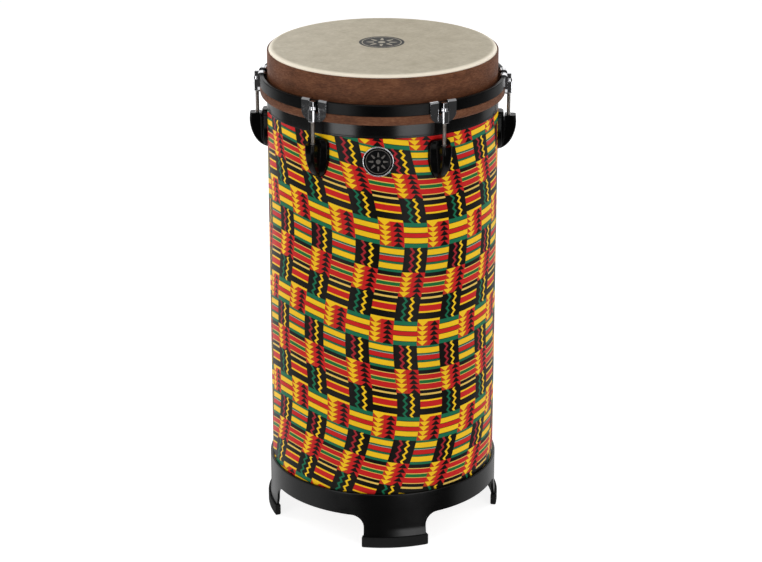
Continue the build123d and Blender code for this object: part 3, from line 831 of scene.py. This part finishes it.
rod_pattern = object_of("rod_pattern", bm, 35)
for number, azimuth in enumerate(STATIONS, start=1):
    rod = turned(rod_pattern, f"rod_{number}_screw", azimuth)
    finish_piece(rod, f"rod_{number}", "rod_steel", rod_steel, f"tension_rod_{number}")
    rod.data.materials.append(chrome)
    for polygon in rod.data.polygons:
        polygon.material_index = int(polygon.center.z / MM > washer_low)
bpy.data.objects.remove(rod_pattern)

bm = bmesh.new()
for azimuth in STATIONS:
    t = math.radians(azimuth - 90)
    centre = (rod_circle * math.cos(t), rod_circle * math.sin(t))
    lathe(rounded([
        (rod_bore, washer_low, 0.2), (washer_r, washer_low, 0.4), (washer_r, flange_low, 0.5),
        (rod_bore, flange_low, 0.2)], 3), 48, bm, centre)
washers = object_of("washers", bm)
finish_piece(washers, "head", "chrome", chrome, "rod_washers")

# Lugs --------------------------------------------------------------------------------------------
lug_low, lug_high = (end.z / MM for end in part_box("lug_1"))
plate_rise, plate_corner, plate_slope = 4.8, 8.0, 9.0
plate_half, plate_foot, plate_taper = 16.0, 7.5, 27.0
plate_edge, plate_proud, notch_half, notch_depth = 5.2, 7.0, 1.0, 6.5
pod_top = lug_high - plate_rise
nut_top = pod_top - 11.5
pod_reach, pod_half, pod_round = 24.2, 7.3, 3.4
pod_lean, pod_lean_height = 0.7, 8.5
pod_front = wrap_r + pod_reach
pod_tip = 0.5  # how far the pod's lowest point stands off the shell
belly_z = lug_low + 36.0
notch = (wrap_r + plate_proud + notch_half, pod_top - notch_depth)
sunk = 0.3  # how far a lug's back reaches into the finish, so no gap shows


def front_of(z):
    """Radius of the pod's front at a height: upright above, a round belly below."""
    if z >= belly_z:
        return pod_front - pod_lean * max(0.0, (z - (pod_top - pod_lean_height)) / pod_lean_height)
    fall = (belly_z - z) / (belly_z - lug_low)
    return wrap_r + pod_tip + (pod_reach - pod_tip) * math.sqrt(max(0.0, 1 - fall**1.7))


def half_plate(z):
    """Half width of the base plate at a height, with rounded top corners and a tapering foot."""
    taper_top = lug_low + plate_taper
    half = plate_half
    if z < taper_top:
        f = (taper_top - z) / plate_taper
        half = plate_half - (plate_half - plate_foot) * f**1.6
        drop, pull = 7.0, 5.0
        if z < lug_low + drop:
            half -= pull * (1 - math.sqrt(max(0.0, 1 - ((lug_low + drop - z) / drop) ** 2)))
    near_top = z - (lug_high - plate_corner)
    if near_top > 0:
        half -= plate_corner * (1 - math.sqrt(max(0.0, 1 - (near_top / plate_corner) ** 2)))
    return half


def lug_section(z, front, half, shoulder, edge, pod):
    """Cross-section of a lug at a height, as (radius, y) on its +y side from front to back."""
    corner_r = min(pod_round, 0.45 * (front - wrap_r), 0.9 * pod)
    return rounded([(front + 0.001, 0.0, 0), (front, pod, corner_r),
                    (wrap_r + shoulder, pod + 0.5, min(3.0, 0.5 * shoulder)),
                    (wrap_r + edge, max(half - 1.0, pod + 1.0), min(1.8, 0.5 * edge)),
                    (wrap_r - sunk, max(half, pod + 1.3), 0), (wrap_r - sunk, 0.0, 0)],
                   5, closed=False)


def lug_loop(z):
    """A lug's whole cross-section at a height, with its foot drawn in."""
    t = min(1.0, (z - lug_low) / 14.0)
    swell = math.sqrt(max(0.05, 1 - (1 - t) ** 2))
    front = front_of(z)
    pod = pod_half * (0.45 + 0.55 * ((z - lug_low) / (pod_top - lug_low)) ** 0.6)
    shoulder = min(8.2 * swell, 0.75 * (front - wrap_r))
    edge = min(plate_edge * swell, 0.7 * shoulder)
    side = lug_section(z, front, half_plate(z), shoulder, edge, pod)
    loop = side + [(r, -y) for r, y in side[-2:0:-1]]
    return [(math.sqrt(max(r * r - y * y, 1.0)), y, z) for r, y in loop]


belly_height = belly_z - lug_low
levels = [lug_low + contact_gap + belly_height * (1 - math.cos(math.pi / 2 * k / 14))
          for k in range(15)]
levels += spread(belly_z, pod_top - 0.7, 12)[1:]
lug_body = object_of("lug_body", loft([lug_loop(z) for z in levels]), 50)

# The base plate stands a little above the pod, with a sloping face down into the V between them.
plate_base, lip_height = pod_top - plate_slope, 2.0
corner_low = lug_high - plate_corner
plate_levels = spread(plate_base, corner_low, 4)
plate_levels += [corner_low + plate_corner * math.sin(math.pi / 2 * k / 10) for k in range(1, 11)]
sections = []
for z in plate_levels:
    half = max(half_plate(z), 6.5)
    slope = max(0.0, 1 - (z - plate_base) / (lug_high - plate_base))
    lip = 1.2 * max(0.0, (z - (lug_high - lip_height)) / lip_height) ** 2
    plate_r = wrap_r + plate_proud + slope - lip
    side = rounded([(plate_r, 0.0, 0), (plate_r, min(7.6, half - 3.5), 2.0),
                    (wrap_r + plate_edge - lip, half - 1.0, 1.8), (wrap_r - sunk, half, 0),
                    (wrap_r - sunk, 0.0, 0)], 5, closed=False)
    loop = side + [(r, -y) for r, y in side[-2:0:-1]]
    sections.append([(math.sqrt(r * r - y * y), y, z) for r, y in loop])
lug_plate = object_of("lug_plate", loft(sections), 50)

# The V and the rod's hole are cut from the pod before the plate is joined on.
bm = bmesh.new()
wedge_back, wedge_top = wrap_r - 3.0, pod_top + 1.0
wedge = [notch, (notch[0] + notch_half, wedge_top), (wedge_back, wedge_top), (wedge_back, notch[1])]
loft([[(r, y, z) for r, z in wedge] for y in (-20.0, 20.0)], bm)
lug_body = combine(lug_body, object_of("wedge", bm), "DIFFERENCE")
well_low, well_r, neck_r, mouth_r, mouth = rod_low - 1.5, 2.85, 3.65, 4.0, 0.4
well = object_of("well", lathe([(0.0, well_low), (well_r, well_low), (well_r, nut_top),
                                (neck_r, nut_top), (neck_r, pod_top - mouth),
                                (mouth_r, pod_top + mouth), (0.0, pod_top + mouth)],
                               40, centre=(rod_circle, 0.0)))
lug_body = combine(lug_body, well, "DIFFERENCE")
lug_body = combine(lug_body, lug_plate)
for number, azimuth in enumerate(STATIONS, start=1):
    lug = turned(lug_body, f"lug_casting_{number}", azimuth)
    finish_piece(lug, "shell", "lug_plastic", lug_black, f"lug_{number}")
bpy.data.objects.remove(lug_body)

# Badge -------------------------------------------------------------------------------------------


def curved_disc(name, outline, steps=96):
    """A round plate bent round the shell: outline is (distance from centre, height) points."""
    bm = lathe(outline, steps)
    for v in bm.verts:
        across, up, proud = v.co.x, v.co.y, v.co.z
        r = wrap_r + proud
        v.co = Vector((across, -math.sqrt(r * r - across * across), badge_z + up))
    return object_of(name, bm)


rim_in, rim_thick = badge_r - badge_rim_width, 1.6
rim = curved_disc("badge_ring", rounded([
    (rim_in, 0.0, 0), (badge_r, 0.0, 0), (badge_r, rim_thick, 0.8), (rim_in, rim_thick, 0.8)], 5))
finish_piece(rim, "shell", "badge_metal", silver, "badge_rim")
enamel_r, enamel_crown = rim_in - contact_gap, 0.9
face = curved_disc("badge_face", [(0.0, 0.0), (enamel_r, 0.0), (enamel_r, 0.75), (12.0, 0.85),
                                  (6.0, enamel_crown), (0.0, enamel_crown)])
finish_piece(face, "shell", "badge_plate", enamel, "badge_plate")

# Base ring ---------------------------------------------------------------------------------------
leg_flare, base_wall = 2.0, 3.5
base_r = base_flare_r - leg_flare
arch_top, arch_round = shell_low - 7.0, 17.0
leg_half = 15.6
flare_low, flare_high = 10.0, 29.0
spring = arch_top - arch_round
top_round = 1.2


def base_radius(z):
    """Outside of the base at a height: the legs flare out below the arches."""
    f = min(max((flare_high - z) / (flare_high - flare_low), 0.0), 1.0)
    flare = leg_flare * f * f * (3 - 2 * f)
    over = max(0.0, z - (base_top - top_round))
    return base_r + flare - (top_round - math.sqrt(max(0.0, top_round**2 - over**2)))


def base_point(z, azimuth, side):
    """Point on the base's outer (0) or inner (1) side."""
    t = math.radians(azimuth - 90)
    r = base_radius(z)
    if side == 1:
        r = base_r - base_wall + (base_radius(min(z, base_top - top_round)) - base_r)
    return r * math.cos(t), r * math.sin(t), z


# Columns round the base, closer together at the arches' round corners.
arch_angle = math.degrees(arch_round / base_r)
quarter = [arch_angle * (1 - math.cos(math.pi / 2 * k / 10)) for k in range(11)]
gap = 90 - 2 * leg_half
offsets = spread(-leg_half, leg_half, 20)
offsets += [leg_half + q for q in quarter[1:]]
offsets += spread(leg_half + arch_angle, leg_half + gap - arch_angle, 20)[1:-1]
offsets += [leg_half + gap - q for q in quarter[:0:-1]]
columns = []
top_rows = [base_top - top_round * (1 - math.cos(math.pi / 2 * k / 4)) for k in range(5)]
for leg in LEGS:
    for offset in offsets:
        inward = min(offset - leg_half, leg_half + gap - offset)
        if inward <= 1e-6:
            foot = spring
        else:
            away = max(0.0, 1 - min(inward, arch_angle) / arch_angle)
            foot = spring + arch_round * math.sqrt(1 - away**2)
        rows = top_rows + spread(top_rows[-1], foot, 8)[1:]
        if inward <= 1e-6:
            rows += spread(spring, base_low, 12)[1:]
        columns.append((leg + offset, rows))
bm = slab(columns, base_point, closed=True)
soften(bm, sharp_edges(bm, 60), 0.45, 2)
base = object_of("base", bm)
ledge_thick, ledge_width, ledge_bite = 4.0, 8.6, 2.0
ledge_low = shell_low - ledge_thick
ledge_in, ledge_out = base_r - base_wall - ledge_width, base_r - base_wall + ledge_bite
ledge = object_of("ledge", lathe(rounded([
    (ledge_in, ledge_low, 0.6), (ledge_out, ledge_low, 0), (ledge_out, shell_low, 0),
    (ledge_in, shell_low, 0.6)], 2)))
base = combine(base, ledge)
finish_piece(base, "shell", "base_plastic", base_black, "base_ring")

# Rubber shoes: a curved block with round lower edges and a pocket for the leg.
pad_end, pad_wall, pad_round, pad_edge = 0.75, 2.2, 3.4, 0.6
pad_half = leg_half + pad_end
pad_in = pad_r - 2 * pad_wall - base_wall
pocket_play, pocket_end = 0.1, 0.05
pocket_in, pocket_out = base_flare_r - base_wall - pocket_play, base_flare_r + pocket_play


def arc_block(azimuth, half, steps, inner, outer, low, high):
    """A block bent round the drum's axis, as a bmesh."""
    sections = []
    for offset in spread(-half, half, steps):
        t = math.radians(azimuth + offset - 90)
        sections.append([(r * math.cos(t), r * math.sin(t), z) for r, z in (
            (inner, low), (outer, low), (outer, high), (inner, high))])
    return loft(sections)


for number, leg in enumerate(LEGS, start=1):
    bm = arc_block(leg, pad_half, 28, pad_in, pad_r, pad_low, pad_top)
    bottom = [e for e in sharp_edges(bm, 45) if all(v.co.z < pad_low + 0.1 for v in e.verts)]
    soften(bm, bottom, pad_round, 5)
    upper = [e for e in sharp_edges(bm, 45) if max(v.co.z for v in e.verts) > pad_low + 3]
    soften(bm, upper, pad_edge, 2)
    pad = object_of(f"shoe_{number}", bm)
    pocket = arc_block(leg, leg_half + pocket_end, 24, pocket_in, pocket_out,
                       base_low - pocket_play, pad_top + 2)
    pad = combine(pad, object_of("pocket", pocket), "DIFFERENCE")
    finish_piece(pad, "shell", "foot_rubber", rubber, f"foot_pad_{number}")

# Fixings that keep their CAD shape ---------------------------------------------------------------
for node in ("lug_nuts", "lug_screws", "lug_screw_washers", "base_screws"):
    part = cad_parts[node]
    part.data.materials.clear()
    part.data.materials.append(zinc)

# Camera ------------------------------------------------------------------------------------------
CAMERA_AZIMUTH, CAMERA_REACH, CAMERA_HEIGHT, CAMERA_PITCH = 2.14, 2.9608, 1.4403, 20.554
camera_data = bpy.data.cameras.new("camera")
camera = bpy.data.objects.new("camera", camera_data)
bpy.context.scene.collection.objects.link(camera)
turn = math.radians(CAMERA_AZIMUTH)
camera.location = (CAMERA_REACH * math.sin(turn), -CAMERA_REACH * math.cos(turn), CAMERA_HEIGHT)
camera.rotation_euler = (math.radians(90 - CAMERA_PITCH), 0.0, turn)
camera_data.lens = 107.92
camera_data.sensor_width = 36.0
camera_data.sensor_fit = "HORIZONTAL"
camera_data.shift_x = -0.0023
camera_data.clip_end = 50.0
bpy.context.scene.camera = camera
bpy.context.scene.view_settings.view_transform = "Standard"

# Studio ------------------------------------------------------------------------------------------
reach = 8.0  # metres from the drum to each side of the floor
floor_corners = [(-reach, -reach, 0), (reach, -reach, 0), (reach, reach, 0), (-reach, reach, 0)]
floor_mesh = bpy.data.meshes.new("floor")
floor_mesh.from_pydata(floor_corners, [], [(0, 1, 2, 3)])
floor = bpy.data.objects.new("floor", floor_mesh)
bpy.context.scene.collection.objects.link(floor)
paper = Look("floor_paper", roughness=0.9, Specular_IOR_Level=0.1, Emission_Color=(1, 1, 1, 1),
             Emission_Strength=0.86)
paper_grain = paper.ramp(paper.noise(3.0, detail=3.0), [(0.3, (0.38, 0.38, 0.38, 1.0)),
                                                        (0.7, (0.42, 0.42, 0.42, 1.0))])
floor_mesh.materials.append(paper.paint(paper_grain))
floor.visible_glossy = False


def softbox(name, azimuth, distance, height, width, tall, power, target=0.35, mirrored=True):
    """A rectangular light at an azimuth from the front, aimed at the drum at a target height."""
    data = bpy.data.lights.new(name, "AREA")
    data.shape = "RECTANGLE"
    data.size, data.size_y = width, tall
    data.energy = power
    light = bpy.data.objects.new(name, data)
    bpy.context.scene.collection.objects.link(light)
    t = math.radians(azimuth - 90)
    light.location = (distance * math.cos(t), distance * math.sin(t), height)
    aim = Vector((0, 0, target)) - light.location
    light.rotation_euler = aim.to_track_quat("-Z", "Y").to_euler()
    light.visible_camera = False
    light.visible_glossy = mirrored


softbox("key_left", -42, 2.3, 1.5, 1.2, 1.6, 11.5)
softbox("key_right", 40, 2.3, 1.5, 1.2, 1.6, 11.5)
softbox("overhead", 0, 0.25, 2.6, 1.8, 1.8, 15.5, 0.6)
softbox("side_left", -112, 1.7, 0.9, 0.9, 1.5, 13, mirrored=False)
softbox("side_right", 112, 1.8, 0.9, 0.8, 1.5, 11, mirrored=False)
softbox("back_left", -158, 2.4, 1.1, 1.5, 2.0, 9)
softbox("back_right", 158, 2.4, 1.1, 1.5, 2.0, 9)

# The studio round the drum: a dim sky, and below the horizon, where the floor hides it from all
# but reflections, the soft bright and dark patches that the black and chromed parts mirror.
world = bpy.data.worlds.new("studio")
bpy.context.scene.world = world
world.use_nodes = True
studio = Graph(world.node_tree)
_, (toward_x, toward_y, toward_z) = studio.coordinates("Generated")
around = toward_x.math("ARCTAN2", -toward_y) * (180 / math.pi) - CAMERA_AZIMUTH


def patches(strips):
    """Brightness round the horizon from (azimuth from the camera, half width, strength) strips."""
    total = 0.01
    for middle, half, strength in strips:
        away = (around - middle).abs()
        total = studio.smooth(away, half * 0.7, half * 1.2, strength, 0.0) + total
    return total


far_strips = patches([(-40, 13, 3.6), (30, 16, 3.2), (-146, 28, 0.7), (146, 30, 0.45)])
near_strips = patches([(-110, 56, 0.75), (126, 48, 0.55)])
far_band = (studio.smooth(toward_z, -0.34, -0.3)
            * studio.smooth(toward_z, -0.12, 0.0, 1.0, 0.0))
near_band = (studio.smooth(toward_z, -0.66, -0.58)
             * studio.smooth(toward_z, -0.34, -0.3, 1.0, 0.0))
sky = studio.smooth(toward_z, -0.02, 0.45, 0.03, 0.34)
ground = studio.smooth(toward_z, -0.82, -0.7, 0.9, 0.0)
backdrop = world.node_tree.nodes["Background"]
backdrop.inputs["Color"].default_value = (1.0, 1.0, 1.0, 1.0)
brightness = far_strips * far_band + near_strips * near_band + sky + ground
studio.feed(backdrop.inputs["Strength"], brightness)
